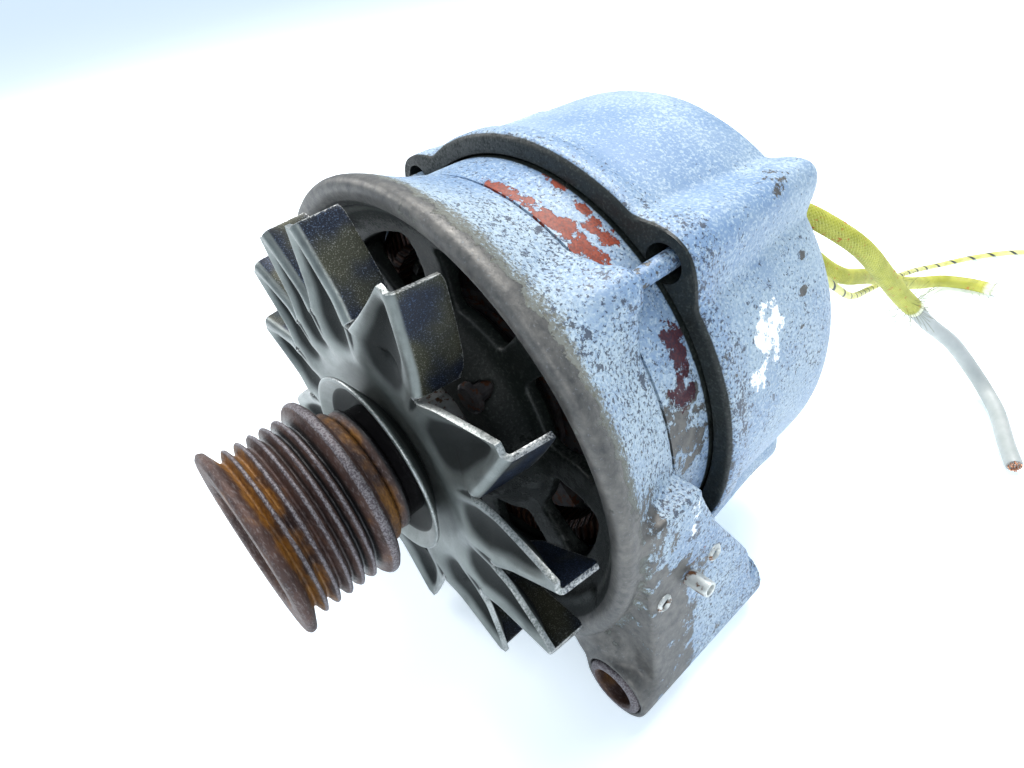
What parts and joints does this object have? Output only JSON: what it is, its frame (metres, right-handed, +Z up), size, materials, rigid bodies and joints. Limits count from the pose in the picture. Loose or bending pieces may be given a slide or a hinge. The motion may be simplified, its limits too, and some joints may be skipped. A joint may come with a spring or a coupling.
{
  "type": "car alternator",
  "caption": "Car alternator with a ribbed belt pulley, an outside cooling fan, a pivot lug, a long rear housing and free leads out of its back.",
  "frame": {"origin": "middle of the underside of the casing's bounding box, leads left out", "axes": "+Y along the shaft from the pulley to the leads, +Z up as it lies on its rim and pivot lug, +X towards the pivot lug"},
  "size_m": [0.21, 0.4001, 0.1484],
  "materials": {
    "rusty_steel": "turned steel rusted orange and brown",
    "fan_steel": "pressed steel, dark satin grey",
    "bright_steel": "ground steel",
    "zinc_steel": "dulled zinc plate with rust",
    "painted_casting": "die-cast aluminium under worn pale blue paint",
    "painted_lamination": "pale blue paint flaking to red rust",
    "pole_iron": "dark forged iron",
    "copper_wire": "varnished copper wire",
    "copper": "polished copper",
    "aluminium_plate": "plain sheet aluminium",
    "black_plastic": "black moulded plastic",
    "carbon": "pressed copper-graphite",
    "green_braid": "varnished yellow-green braid",
    "yellow_lead": "pale yellow insulation",
    "white_cable": "white insulation",
    "rubber": "black rubber"
  },
  "bodies": {
    "frame": {"front_bearing_outer_race": "bright_steel", "rear_bearing_outer_race": "bright_steel", "front_bracket": "painted_casting", "pivot_bush": "zinc_steel", "pad_stub": "zinc_steel", "bearing_retainer": "zinc_steel", "retainer_screw_1": "zinc_steel", "retainer_screw_2": "zinc_steel", "retainer_screw_3": "zinc_steel", "stator_core": "painted_lamination", "stator_winding": "copper_wire", "rear_housing": "painted_casting", "through_bolt_1": "zinc_steel", "through_bolt_2": "zinc_steel", "through_bolt_3": "zinc_steel", "through_bolt_4": "zinc_steel", "plus_heat_sink": "aluminium_plate", "minus_heat_sink": "aluminium_plate", "rectifier_insulator": "black_plastic", "terminal_bushing": "black_plastic", "terminal_stud": "bright_steel", "terminal_nut": "zinc_steel", "brush_holder": "black_plastic", "regulator_screw_1": "zinc_steel", "regulator_screw_2": "zinc_steel", "capacitor": "aluminium_plate", "cable_gland": "rubber", "charge_sleeve": "green_braid", "charge_cable": "white_cable", "signal_sleeve": "green_braid", "sense_lead": "yellow_lead", "diode_1": "zinc_steel", "diode_2": "zinc_steel", "diode_3": "zinc_steel", "diode_4": "zinc_steel", "diode_5": "zinc_steel", "diode_6": "zinc_steel"},
    "rotor": {"pulley": "rusty_steel", "pulley_nut": "bright_steel", "spring_washer": "bright_steel", "pulley_spacer": "bright_steel", "fan_cup_washer": "fan_steel", "fan": "fan_steel", "shaft": "bright_steel", "fan_collar": "zinc_steel", "front_bearing_inner_race": "bright_steel", "rear_bearing_inner_race": "bright_steel", "front_claw_pole": "pole_iron", "rear_claw_pole": "pole_iron", "field_bobbin": "black_plastic", "field_winding": "copper_wire", "slip_ring_hub": "black_plastic", "slip_ring_front": "copper", "slip_ring_rear": "copper"},
    "front_cage": {"front_bearing_balls": "bright_steel"},
    "rear_cage": {"rear_bearing_balls": "bright_steel"},
    "brush_slider_1": {"brush_1": "carbon", "brush_spring_1": "bright_steel"},
    "brush_slider_2": {"brush_2": "carbon", "brush_spring_2": "bright_steel"}
  },
  "joints": [
    {"name": "rotor_spin", "type": "hinge", "parent": "frame", "child": "rotor", "pos_m": [0.0064, -0.0925, 0.0742], "axis": [0, 1, 0], "continuous": true},
    {"name": "front_cage_spin", "type": "hinge", "parent": "frame", "child": "front_cage", "pos_m": [0.0064, -0.0197, 0.0742], "axis": [0, 1, 0], "continuous": true},
    {"name": "rear_cage_spin", "type": "hinge", "parent": "frame", "child": "rear_cage", "pos_m": [0.0064, 0.0596, 0.0742], "axis": [0, 1, 0], "continuous": true},
    {"name": "brush_1_slide", "type": "slide", "parent": "frame", "child": "brush_slider_1", "axis": [0, 0, 1], "range_m": [0, 0.008], "stiffness_N_per_m": 200, "springref_m": -0.006, "deforming": ["brush_spring_1"]},
    {"name": "brush_2_slide", "type": "slide", "parent": "frame", "child": "brush_slider_2", "axis": [0, 0, 1], "range_m": [0, 0.008], "stiffness_N_per_m": 200, "springref_m": -0.006, "deforming": ["brush_spring_2"]}
  ],
  "couplings": [
    {"joint": "front_cage_spin", "follows": "rotor_spin", "ratio": 0.382},
    {"joint": "rear_cage_spin", "follows": "rotor_spin", "ratio": 0.4}
  ]
}
